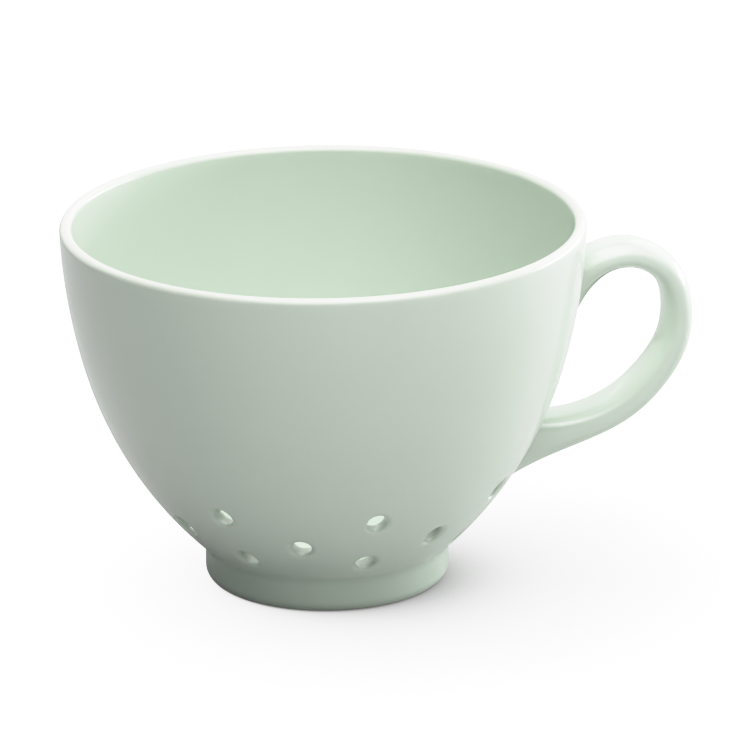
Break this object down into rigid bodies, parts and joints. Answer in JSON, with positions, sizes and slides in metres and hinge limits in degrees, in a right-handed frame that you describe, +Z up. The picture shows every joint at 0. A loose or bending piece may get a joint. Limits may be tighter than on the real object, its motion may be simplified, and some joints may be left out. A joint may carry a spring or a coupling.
{
  "type": "berry colander bowl",
  "caption": "Deep round colander bowl shaped like a wide cup, with a rounded lip, a low foot ring, a broad loop handle and drain holes through the lower wall and floor.",
  "frame": {"origin": "centre of the foot ring's flat base, on the bowl's axis", "axes": "+Z up along the bowl's axis, +X along the middle of the handle"},
  "size_m": [0.1648, 0.1352, 0.096],
  "materials": {
    "glaze": "satin gloss",
    "foot": "satin gloss with a bare base"
  },
  "bodies": {
    "root": {"bowl": "glaze", "foot_ring": "foot", "handle": "glaze"}
  },
  "joints": []
}
